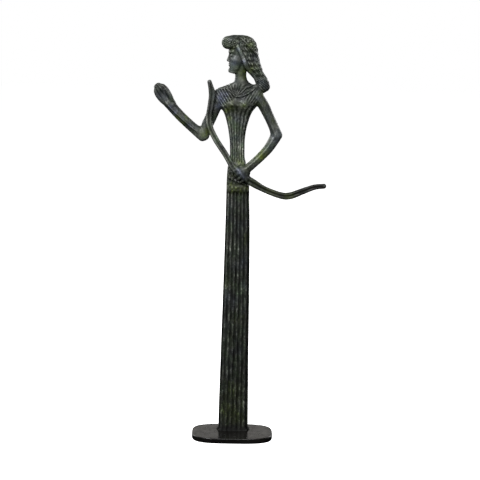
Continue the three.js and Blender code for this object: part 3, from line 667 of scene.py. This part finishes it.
def carve_face(field):
    face = stacked(FACE, 0.05)
    field.add(lambda x, y, z: face(x, y, z)[1], (-4.6, -3, -5.4), (3, 3, 3), 0.3)
    for side in (-1, 1):
        mirror = np.array((1, side, 1))
        field.cut_ellipsoid(mirror * (-3.3, 0.85, -0.45), (0.5, 0.6, 0.4), 0.25)
        inner, outer = mirror * BROW["inner"], mirror * BROW["outer"]
        low, high = np.minimum(inner, outer) - 1, np.maximum(inner, outer) + 1
        field.add(capsule(inner, outer, BROW["radius"], BROW["radius"] * 0.7), low, high, 0.3)
        eye = mirror * EYE
        field.add_ellipsoid(eye, (0.42, 0.58, 0.36), 0.1)
        field.cut_ellipsoid(eye + (-0.42, 0, 0), (0.3, 0.44, 0.15), 0.04)
        field.add_ellipsoid(eye, (0.34, 0.42, 0.26), 0.0)
        field.add_ellipsoid(mirror * (-1.7, 1.35, -1.5), (0.9, 0.6, 0.7), 0.5)
    field.tube([p for p, _ in NOSE], [r for _, r in NOSE], 0.22)
    for side in (-1, 1):
        mirror = np.array((1, side, 1))
        field.add_ellipsoid(mirror * (-3.2, 0.3, -1.9), (0.3, 0.17, 0.17), 0.14)
        field.add_ellipsoid((LIPS["front"], 0, LIPS["height"] + side * LIPS["parting"]), LIPS["half"], 0.1)
    field.cut_ellipsoid((LIPS["front"] - 0.25, 0, LIPS["height"]), (0.3, 0.5, 0.05), 0.05)
    field.add_ellipsoid((-2.75, 0, -4.05), (0.5, 0.6, 0.5), 0.4)
    field.cut_ellipsoid((-3.25, 0, -3.45), (0.22, 0.5, 0.16), 0.2)


def carve_hair(field):
    """The hair with its tail on the left shoulder, cut back beside the face, and a tress on either side."""
    mass = stacked(HAIR, 0.02)
    line = np.array(sorted(HAIRLINE, key=lambda p: p[1]))

    def hair(x, y, z):
        sides, closed = mass(x, y, z)
        middle, wide, deep = smooth_table(HAIR)(z)
        turn = np.arctan2(y / deep, (x - middle) / wide)
        lock = np.cos(9 * turn + 0.9 * np.sin(0.9 * z) + 0.9 * wobble(31, 0.8 * z + 0 * turn, 1.5 * turn))
        strand = np.cos(30 * turn + 2.4 * np.sin(1.1 * z) + 3.2 * wobble(32, 1.4 * z + 0 * turn, 4 * turn))
        curls = ripple(33, 3.2 * turn, z, 1.1)
        nicks = np.cos(2 * math.pi * (z + 0.9 * (x - middle)) / 0.7 + curls)
        nicks = nicks * smoothstep(-z, 5.6, 6.6) * np.sin(turn) ** 4
        shown = (0.25 + 0.75 * np.abs(np.sin(turn))) * smoothstep(4.3 - z, 0.05, 0.8)
        loose = 1 - 0.75 * smoothstep(-z, 5.4, 6.6)
        relief = HAIR_RELIEF["locks"] * (lock - 1) + HAIR_RELIEF["strands"] * strand
        relief = relief + HAIR_RELIEF["curls"] * curls
        closed = closed - shown * loose * relief - HAIR_RELIEF["nicks"] * nicks
        edge = np.interp(z, line[:, 1], line[:, 0])
        opened = np.maximum(x - edge, z - line[-1, 1])
        return smooth_max(closed, -opened, 0.15)

    field.add(hair, (-4.8, -3.1, -10.4), (7.9, 3.1, 4.9), 0.12)
    for side in (1, -1):
        field.tube([(x, side * y, z) for (x, y, z), _ in TRESS], [r for _, r in TRESS], 0.15)


def fringe_point(share):
    """Middle, outward direction and radius of the fringe's roll, at a share from -1 to 1 of its length."""
    angle = math.radians(FRINGE["ends"]) * share
    back, side = -FRINGE["reach"] * math.cos(angle), FRINGE["spread"] * math.sin(angle)
    out = np.array((back * FRINGE["spread"] ** 2, side * FRINGE["reach"] ** 2, 0))
    radius = FRINGE["radius"] * (1 - FRINGE["taper"] * share**2)
    return np.array((FRINGE["x"] + back, side, FRINGE["height"])), out / np.linalg.norm(out), radius


def carve_fringe(field):
    """The roll of curls over the forehead and the hair combed back from it."""
    shares = np.linspace(-1, 1, 15)
    points = [fringe_point(s) for s in shares]
    field.tube([p for p, _, _ in points], [r for _, _, r in points], 0.1, steps=2)
    field.tube([p for p, _ in SWEPT_HAIR], [r for _, r in SWEPT_HAIR], 0.3)
    for k in range(FRINGE["curls"]):
        share = (2 * k + 1) / FRINGE["curls"] - 1
        middle, out, radius = fringe_point(share)
        curl = middle + out * radius * 0.97
        for ring, depth in CURL_RINGS:
            cut_ring(field, curl, out, ring, depth)
    picks, (x, y, z) = field.local_window((-5.4, -2.4, COMBED["low"]), (1.2, 2.4, 5.0))
    phase = 2 * math.pi * y * (1 + 0.08 * (x + 3)) / COMBED["pitch"] + 3.4 * wobble(35, 1.2 * x, 2 * y)
    zone = smoothstep(z, COMBED["low"], COMBED["high"]) * inside(x, -5.2, 1.0, 0.8)
    uneven = 1 + 0.5 * ripple(36, x, y, 1.2)
    field.values[picks] += zone * uneven * COMBED["depth"] * (1 + np.cos(phase))


def cut_ring(field, middle, axis, ring, depth):
    """Cuts a round groove around an axis."""
    reach = ring + depth + 0.2

    def groove(x, y, z):
        q = [x - middle[0], y - middle[1], z - middle[2]]
        along = sum(c * a for c, a in zip(q, axis))
        square = sum(c * c for c in q)
        flat = np.sqrt(np.maximum(square - along**2, 0))
        return np.hypot(flat - ring, along * 0.5) - depth
    field.cut(groove, middle - reach, middle + reach, 0.06)


def carve_ribbon(field):
    """A band from the crown down behind the ear, thin at its ends, with three beads, on either side."""
    section = smooth_table(HAIR)

    def on_hair(x, z, side):
        middle, wide, deep = [float(v) for v in section(z)]
        share = min(1.0, abs((x - middle) / wide))
        return np.array((x, side * deep * math.sqrt(1 - share**2), z))

    start, end = np.array(RIBBON["from"]), np.array(RIBBON["to"])
    shares = np.linspace(0, 1, RIBBON["steps"])
    radii = [RIBBON["radius"] * min(1, 0.15 + min(t, 1 - t) / RIBBON["taper"]) for t in shares]
    for side in (-1, 1):
        points = [on_hair(*(start + (end - start) * t), side) for t in shares]
        field.tube(points, radii, 0.05, steps=2)
        for x, z in BEADS:
            bead = on_hair(x, z, side)
            field.add_ellipsoid(bead, (BEAD_RADIUS,) * 3, 0.03)


def carve_figure():
    field = Field(GRID_X, GRID_Y, GRID_Z)
    carve_dress(field)
    field.limb(NECK, 0.5)
    field.add_ellipsoid(HAIR_ROOT["at"], HAIR_ROOT["half"], 0.4)
    carve_limbs(field)
    carve_fist(field)
    head_frame(field)
    carve_face(field)
    carve_hair(field)
    carve_fringe(field)
    carve_ribbon(field)
    return field


# Meshing
def surface_nets(field):
    """Vertices and quads of the field's zero surface, one vertex in each cell that the surface crosses."""
    values, axes = field.values, field.axes
    solid = values < 0
    cells = tuple(n - 1 for n in values.shape)
    corner = lambda dx, dy, dz: tuple(slice(d, d + n) for d, n in zip((dx, dy, dz), cells))
    offsets = [(i, j, k) for i in (0, 1) for j in (0, 1) for k in (0, 1)]
    filled = sum(solid[corner(*o)].astype(np.uint8) for o in offsets)
    crossed = (filled > 0) & (filled < 8)
    where = np.nonzero(crossed)
    number = np.full(cells, -1, np.int32)
    number[where] = np.arange(len(where[0]), dtype=np.int32)
    at = {o: values[where[0] + o[0], where[1] + o[1], where[2] + o[2]].astype(float) for o in offsets}
    total, count = np.zeros((len(where[0]), 3)), np.zeros(len(where[0]))
    for a in offsets:
        for axis in range(3):
            if a[axis]:
                continue
            b = tuple(v + (i == axis) for i, v in enumerate(a))
            cuts = (at[a] < 0) != (at[b] < 0)
            share = np.where(cuts, at[a] / np.where(cuts, at[a] - at[b], 1), 0)
            for i in range(3):
                total[:, i] += cuts * (a[i] + (share if i == axis else 0))
            count += cuts
    inner = total / count[:, None]
    points = np.stack([axes[i][where[i]] + inner[:, i] * np.diff(axes[i])[where[i]] for i in range(3)], 1)
    quads = []
    for axis in range(3):
        other = [i for i in range(3) if i != axis]
        low = [slice(1, -1)] * 3
        low[axis] = slice(0, -1)
        high = list(low)
        high[axis] = slice(1, None)
        a, b = solid[tuple(low)], solid[tuple(high)]
        spots = np.stack(np.nonzero(a != b), 1)
        leaving = a[tuple(spots.T)]
        spots = spots + [0 if i == axis else 1 for i in range(3)]
        ring = []
        for du, dv in ((1, 1), (0, 1), (0, 0), (1, 0)):
            cell = spots.copy()
            cell[:, other[0]] -= du
            cell[:, other[1]] -= dv
            ring.append(number[tuple(cell.T)])
        ring = np.stack(ring, 1)
        flip = leaving if axis == 1 else ~leaving
        ring[flip] = ring[flip][:, ::-1]
        quads.append(ring)
    return points, np.concatenate(quads)


def mesh_from(name, points, quads):
    mesh = bpy.data.meshes.new(name)
    mesh.vertices.add(len(points))
    mesh.vertices.foreach_set("co", np.asarray(points, np.float32).ravel())
    mesh.loops.add(quads.size)
    mesh.loops.foreach_set("vertex_index", quads.ravel().astype(np.int32))
    mesh.polygons.add(len(quads))
    mesh.polygons.foreach_set("loop_start", np.arange(0, quads.size, 4, dtype=np.int32))
    mesh.update(calc_edges=True)
    mesh.validate()
    return mesh


def thin_out(piece, triangles):
    """Collapses the flattest faces until about this many triangles are left."""
    piece.data.calc_loop_triangles()
    now = len(piece.data.loop_triangles)
    if now <= triangles:
        return
    modifier = piece.modifiers.new("thin", "DECIMATE")
    modifier.ratio = triangles / now
    evaluated = piece.evaluated_get(bpy.context.evaluated_depsgraph_get())
    thin = bpy.data.meshes.new_from_object(evaluated)
    piece.modifiers.clear()
    old, piece.data = piece.data, thin
    bpy.data.meshes.remove(old)


def places_of(mesh):
    places = np.empty(len(mesh.vertices) * 3, np.float32)
    mesh.vertices.foreach_get("co", places)
    return places.reshape(-1, 3)


def keep_in_box(mesh):
    """Moves what stands out of the solids' box back onto its sides."""
    places = np.clip(places_of(mesh), *np.array(cad_bounds, np.float32))
    mesh.vertices.foreach_set("co", places.ravel())
    mesh.update()


def stand_out(mesh, normals, rounds):
    """How far each vertex stands out of its smoothed surroundings, in metres."""
    count = len(mesh.vertices)
    edges = np.empty(len(mesh.edges) * 2, np.int32)
    mesh.edges.foreach_get("vertices", edges)
    edges = edges.reshape(-1, 2)
    ends, others = np.concatenate([edges[:, 0], edges[:, 1]]), np.concatenate([edges[:, 1], edges[:, 0]])
    share = 1 / np.maximum(np.bincount(ends, minlength=count), 1)
    places = places_of(mesh).astype(float)
    soft = places.copy()
    for _ in range(rounds):
        near = np.stack([np.bincount(ends, soft[others, i], minlength=count) for i in range(3)], 1)
        soft = 0.4 * soft + 0.6 * near * share[:, None]
    return ((places - soft) * normals).sum(1), places


def spots(rows, x, z):
    return sum(
        strength * np.exp(-((x - spot_x) ** 2 + (z - spot_z) ** 2) / size**2)
        for spot_x, spot_z, size, strength in rows
    )


def add_values(mesh, name, values):
    layer = mesh.attributes.new(name, "FLOAT", "POINT")
    layer.data.foreach_set("value", np.asarray(values, np.float32))


def patina_and_painted_light(mesh):
    """Stores what the bronze's colour depends on: its relief, where olive patina lies, spots of whitish
    patina and painted highlight, and a brightness that holds painted shade and painted light.
    """
    normals = np.empty(len(mesh.vertices) * 3, np.float32)
    mesh.vertex_normals.foreach_get("vector", normals)
    normals = normals.reshape(-1, 3)
    fine, places = stand_out(mesh, normals, FINE_ROUNDS)
    broad, _ = stand_out(mesh, normals, BROAD_ROUNDS)
    relief = np.clip(0.5 + fine / UNIT / FINE_RELIEF + broad / UNIT / BROAD_RELIEF, 0, 1)
    x, y, z = ((places - np.array(FOOT)) / UNIT).T
    patchy = 0.65 + 0.35 * ripple(51, x + 0.6 * y, z, 1.6) + 0.25 * ripple(52, x - y, z, 0.6)
    add_values(mesh, "relief", relief)
    add_values(mesh, "olive", np.clip(spots(OLIVE_SPOTS, x, z) * patchy, 0, 1))
    add_values(mesh, "highlight_and_bloom", np.clip(spots(HIGHLIGHT_AND_BLOOM_SPOTS, x, z) * patchy, 0, 1))
    # Sideways-facing faces of the skirt, darkened below as painted shade
    sides = smoothstep(np.abs(normals[:, 0]), 0.7, 0.95) * (z < 62) * (np.abs(x) < 5)
    # Brightness by height: painted contact shade at the foot, darker patina on the skirt, painted light from
    # above on the upper body
    painted_light_and_tone = np.interp(z, [row[0] for row in LIGHT_SHADE_AND_TONE_BY_HEIGHT], [row[1] for row in LIGHT_SHADE_AND_TONE_BY_HEIGHT])
    painted_light_and_tone = painted_light_and_tone * (1 - SKIRT_SIDES_PAINTED_SHADE * sides)
    # Spots of painted shade and painted highlight, and darker patches
    painted_light_and_tone = painted_light_and_tone * np.clip(1 - spots(SHADE_HIGHLIGHT_AND_PATCH_SPOTS, x, z), 0.15, 1.8)
    painted_light_and_tone = painted_light_and_tone * (1 - ARMS_DARKER * smoothstep(np.abs(x), 5.5, 8.0) * (z > 67))
    skirt = (z < 62) & (np.abs(x) < 4.4)
    # Painted shade in the creases and painted highlight on the ridges, calmer on the skirt
    add_values(mesh, "painted_light_and_tone", painted_light_and_tone * 2 ** (CREASE_SHADE_RIDGE_HIGHLIGHT_STOPS * (1 - SKIRT_CALMER * skirt) * (relief - 0.5)))
    bodice = (z > 62) & (z < 87) & (np.abs(x) < 4.4)
    hair = (z > 90) * smoothstep(x + 0.5 * np.maximum(0, z - 96), -0.6, 0.6)
    add_values(mesh, "grit", np.clip(0.25 + 0.75 * skirt + 0.35 * bodice + 0.3 * hair, 0, 1))


def make_figure():
    points, quads = surface_nets(carve_figure())
    mesh = mesh_from("figure_bronze", np.array(FOOT) + points * UNIT, quads)
    piece = bpy.data.objects.new("figure_bronze", mesh)
    bpy.context.collection.objects.link(piece)
    thin_out(piece, TRIANGLES)
    keep_in_box(piece.data)
    piece.data.shade_smooth()
    patina_and_painted_light(piece.data)
    return piece


def make_plinth():
    """A slab with a superelliptic outline and rounded edges, within its solid's box."""
    middle, half = (plinth_low + plinth_high) / 2, (plinth_high - plinth_low) / 2
    turns = np.linspace(0, 2 * math.pi, PLINTH["sides"], endpoint=False)
    cosine, sine = np.cos(turns), np.sin(turns)
    power = 2 / PLINTH["squareness"]
    outline = np.stack([np.sign(cosine) * np.abs(cosine) ** power, np.sign(sine) * np.abs(sine) ** power], 1)
    rows = [(half.x * 0.5, -half.z), (half.x * 0.85, -half.z)]
    for low, high, centre, radius in ((-90, 0, -half.z + PLINTH["low_edge"], PLINTH["low_edge"]),
                                      (0, 90, half.z - PLINTH["top_edge"], PLINTH["top_edge"])):
        for angle in np.radians(np.linspace(low, high, 7)):
            rows.append((radius * (1 - math.cos(angle)), centre + radius * math.sin(angle)))
    rows += [(half.x * 0.1, half.z), (half.x * 0.4, half.z), (half.x * 0.7, half.z)]
    rings = []
    for inset, height in rows:
        narrow = half.y / half.x if inset > PLINTH["low_edge"] else 1
        ring = outline * (half.x - inset, half.y - inset * narrow) + (middle.x, middle.y)
        rings.append(np.column_stack([ring, np.full(len(ring), middle.z + height)]))
    count = len(turns)
    tips = [(middle.x, middle.y, plinth_low.z), (middle.x, middle.y, plinth_high.z)]
    points = np.concatenate([*rings, tips])
    faces = [
        (r * count + i, r * count + (i + 1) % count, (r + 1) * count + (i + 1) % count, (r + 1) * count + i)
        for r in range(len(rings) - 1)
        for i in range(count)
    ]
    last = (len(rings) - 1) * count
    faces += [((i + 1) % count, i, len(points) - 2) for i in range(count)]
    faces += [(last + i, last + (i + 1) % count, len(points) - 1) for i in range(count)]
    mesh = bpy.data.meshes.new("plinth_slab")
    mesh.from_pydata([tuple(p) for p in points], [], faces)
    mesh.shade_smooth()
    piece = bpy.data.objects.new("plinth_slab", mesh)
    bpy.context.collection.objects.link(piece)
    return piece


# Materials
class Nodes:
    """Short names for a material's nodes and links."""

    def __init__(self, name):
        self.material = bpy.data.materials.new(name)
        self.material.use_nodes = True
        self.tree = self.material.node_tree
        self.shader = self.tree.nodes["Principled BSDF"]
        self.places = self.tree.nodes.new("ShaderNodeTexCoord").outputs["Object"]

    def link(self, source, target):
        self.tree.links.new(source, target)

    def attribute(self, name):
        node = self.tree.nodes.new("ShaderNodeAttribute")
        node.attribute_name = name
        return node.outputs["Fac"]

    def noise(self, scale, detail=2.0, roughness=0.5, stretch=None):
        node = self.tree.nodes.new("ShaderNodeTexNoise")
        node.inputs["Scale"].default_value = scale
        node.inputs["Detail"].default_value = detail
        node.inputs["Roughness"].default_value = roughness
        places = self.places
        if stretch:
            mapping = self.tree.nodes.new("ShaderNodeMapping")
            mapping.inputs["Scale"].default_value = stretch
            self.link(places, mapping.inputs["Vector"])
            places = mapping.outputs["Vector"]
        self.link(places, node.inputs["Vector"])
        return node.outputs["Fac"]

    def ramp(self, value, *stops):
        node = self.tree.nodes.new("ShaderNodeValToRGB")
        elements = node.color_ramp.elements
        while len(elements) < len(stops):
            elements.new(0.5)
        for element, (at, colour) in zip(elements, stops):
            element.position = at
            element.color = (*colour, 1) if isinstance(colour, tuple) else (colour, colour, colour, 1)
        self.link(value, node.inputs["Fac"])
        return node.outputs["Color"]

    def mix(self, share, a, b, way="MIX"):
        node = self.tree.nodes.new("ShaderNodeMix")
        node.data_type = "RGBA"
        node.blend_type = way
        for value, socket in ((share, 0), (a, 6), (b, 7)):
            if isinstance(value, (int, float)):
                node.inputs[socket].default_value = value
            elif isinstance(value, tuple):
                node.inputs[socket].default_value = (*value, 1)
            else:
                self.link(value, node.inputs[socket])
        return node.outputs[2]

    def bump(self, height, strength, distance, after=None):
        node = self.tree.nodes.new("ShaderNodeBump")
        node.inputs["Strength"].default_value = strength
        node.inputs["Distance"].default_value = distance
        self.link(height, node.inputs["Height"])
        if after:
            self.link(after, node.inputs["Normal"])
        return node.outputs["Normal"]


def bronze_material():
    """Dark green-black bronze, darker in its creases and bright on its ridges as patina, wear, painted shade
    and painted highlight, with olive patches, blue-grey painted highlights and whitish patina, and a fine
    grain.
    """
    n = Nodes("patinated_bronze")
    relief = n.attribute("relief")
    # Darker in the creases and lighter on the ridges: patina and wear, and also painted shade and painted
    # highlight
    base = n.ramp(relief, (0.15, CREASE_PATINA_AND_SHADE), (0.5, SKIN), (0.9, RIDGE_WEAR_AND_HIGHLIGHT))
    base = n.mix(n.ramp(n.noise(210, 4), (0.4, 0.0), (0.62, 0.55)), base, GREEN_FILM)
    base = n.mix(n.ramp(n.noise(150, 4), (0.45, 0.0), (0.65, 0.6)), base, BLUE_FILM)
    base = n.mix(n.attribute("olive"), base, OLIVE)
    # Blue-white painted highlights, partly a whitish patina
    base = n.mix(n.attribute("highlight_and_bloom"), base, HIGHLIGHT_AND_BLOOM)
    speckle = n.ramp(n.noise(900, 3, 0.6), (0.33, 0.4), (0.5, 0.85), (0.65, 2.2))
    streaks = n.ramp(n.noise(520, 4, 0.6, (1, 1, 0.3)), (0.35, 0.45), (0.5, 0.9), (0.64, 2.2))
    speckle = n.mix(1.0, speckle, streaks, "MULTIPLY")
    base = n.mix(1.0, base, n.mix(n.attribute("grit"), (1.0, 1.0, 1.0), speckle), "MULTIPLY")
    base = n.mix(1.0, base, n.ramp(n.noise(110, 3), (0.35, 0.7), (0.65, 1.35)), "MULTIPLY")
    # Painted shade and painted light by height, by side, in spots and by relief
    base = n.mix(1.0, base, n.attribute("painted_light_and_tone"), "MULTIPLY")
    n.link(base, n.shader.inputs["Base Color"])
    rough = n.ramp(n.noise(500, 3), (0.3, 0.36), (0.7, 0.6))
    dull = n.ramp(n.attribute("painted_light_and_tone"), (0.15, 1.0), (0.35, 0.0))
    n.link(n.mix(dull, rough, (0.95, 0.95, 0.95)), n.shader.inputs["Roughness"])
    n.shader.inputs["Metallic"].default_value = 0.15
    n.shader.inputs["Specular IOR Level"].default_value = 0.38
    grain = n.bump(n.noise(1100, 3, 0.6), 0.3, 0.0002)
    n.link(n.bump(n.noise(330, 3, 0.6), 0.25, 0.0005, grain), n.shader.inputs["Normal"])
    return n.material


def plinth_material():
    """Smooth dark bronze with a soft gloss and faint streaks."""
    n = Nodes("dark_bronze")
    base = n.ramp(n.noise(70, 4, 0.6, (1, 2.2, 1)), (0.35, PLINTH_DARK), (0.7, PLINTH_LIGHT))
    n.link(base, n.shader.inputs["Base Color"])
    n.link(n.ramp(n.noise(260, 4, 0.6), (0.3, 0.16), (0.7, 0.28)), n.shader.inputs["Roughness"])
    n.shader.inputs["Metallic"].default_value = 0.1
    n.shader.inputs["Specular IOR Level"].default_value = 0.6
    n.link(n.bump(n.noise(120, 3), 0.1, 0.0004), n.shader.inputs["Normal"])
    return n.material


# Stage
def make_camera():
    camera = bpy.data.objects.new("camera", bpy.data.cameras.new("camera"))
    bpy.context.collection.objects.link(camera)
    ahead = (CAMERA_TARGET - CAMERA_AT).normalized()
    right = ahead.cross(Vector((0, 0, 1))).normalized()
    up = right.cross(ahead)
    turned_right = right * math.cos(CAMERA_ROLL) + up * math.sin(CAMERA_ROLL)
    turned_up = up * math.cos(CAMERA_ROLL) - right * math.sin(CAMERA_ROLL)
    pose = Matrix((turned_right, turned_up, -ahead)).transposed().to_4x4()
    pose.translation = CAMERA_AT
    camera.matrix_world = pose
    camera.data.sensor_width = 36
    camera.data.lens = FOCAL_PIXELS * camera.data.sensor_width / IMAGE_SIZE
    camera.data.clip_start = 0.01
    bpy.context.scene.camera = camera


def area_light(name, at, target, size, watts, colour=(1, 1, 1)):
    light = bpy.data.lights.new(name, "AREA")
    light.shape = "RECTANGLE"
    light.size, light.size_y = size
    light.energy = watts
    light.color = colour
    lamp = bpy.data.objects.new(name, light)
    bpy.context.collection.objects.link(lamp)
    lamp.location = at
    lamp.rotation_euler = (Vector(target) - Vector(at)).to_track_quat("-Z", "Y").to_euler()


def make_stage():
    """A white floor and backdrop that cast no light of their own, and soft lamps all round."""
    reach = 6.0
    floor_mesh = bpy.data.meshes.new("floor")
    corners = [(-reach, -reach, 0), (reach, -reach, 0), (reach, reach, 0), (-reach, reach, 0)]
    floor_mesh.from_pydata(corners, [], [(0, 1, 2, 3)])
    floor = bpy.data.objects.new("floor", floor_mesh)
    bpy.context.collection.objects.link(floor)
    pale = Nodes("pale_floor")
    pale.shader.inputs["Base Color"].default_value = (0.9, 0.9, 0.9, 1)
    pale.shader.inputs["Roughness"].default_value = 0.9
    pale.shader.inputs["Specular IOR Level"].default_value = 0.0
    pale.shader.inputs["Emission Color"].default_value = (1, 1, 1, 1)
    pale.shader.inputs["Emission Strength"].default_value = 1.0
    floor_mesh.materials.append(pale.material)
    floor.visible_diffuse = False
    floor.visible_glossy = False
    world = bpy.data.worlds.new("studio")
    world.use_nodes = True
    world.node_tree.nodes["Background"].inputs["Color"].default_value = (1, 1, 1, 1)
    world.node_tree.nodes["Background"].inputs["Strength"].default_value = 1.0
    world.cycles_visibility.diffuse = False
    world.cycles_visibility.glossy = False
    bpy.context.scene.world = world
    bpy.context.scene.view_settings.view_transform = "Standard"
    middle = (0, 0, 0.17)
    area_light("key", (-0.34, -0.5, 0.62), (0, 0, 0.2), (0.14, 0.2), 7)
    area_light("front", (0.1, -1.0, 0.75), middle, (0.7, 0.5), 9)
    for side in (-1, 1):
        area_light("side", (side * 0.9, 0, 0.45), middle, (0.4, 0.6), 1.5)
        area_light("behind", (side * 0.7, 0.8, 0.55), middle, (0.6, 0.6), 8)
    area_light("sheen", (-0.1, 1.3, 0.44), (0, 0, 0), (1.6, 0.24), 0.8, (1.0, 0.97, 0.92))


make_camera()
make_stage()

figure = make_figure()
figure.data.materials.append(bronze_material())
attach(figure, "root")
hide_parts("figure")

plinth = make_plinth()
plinth.data.materials.append(plinth_material())
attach(plinth, "root")
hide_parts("plinth")
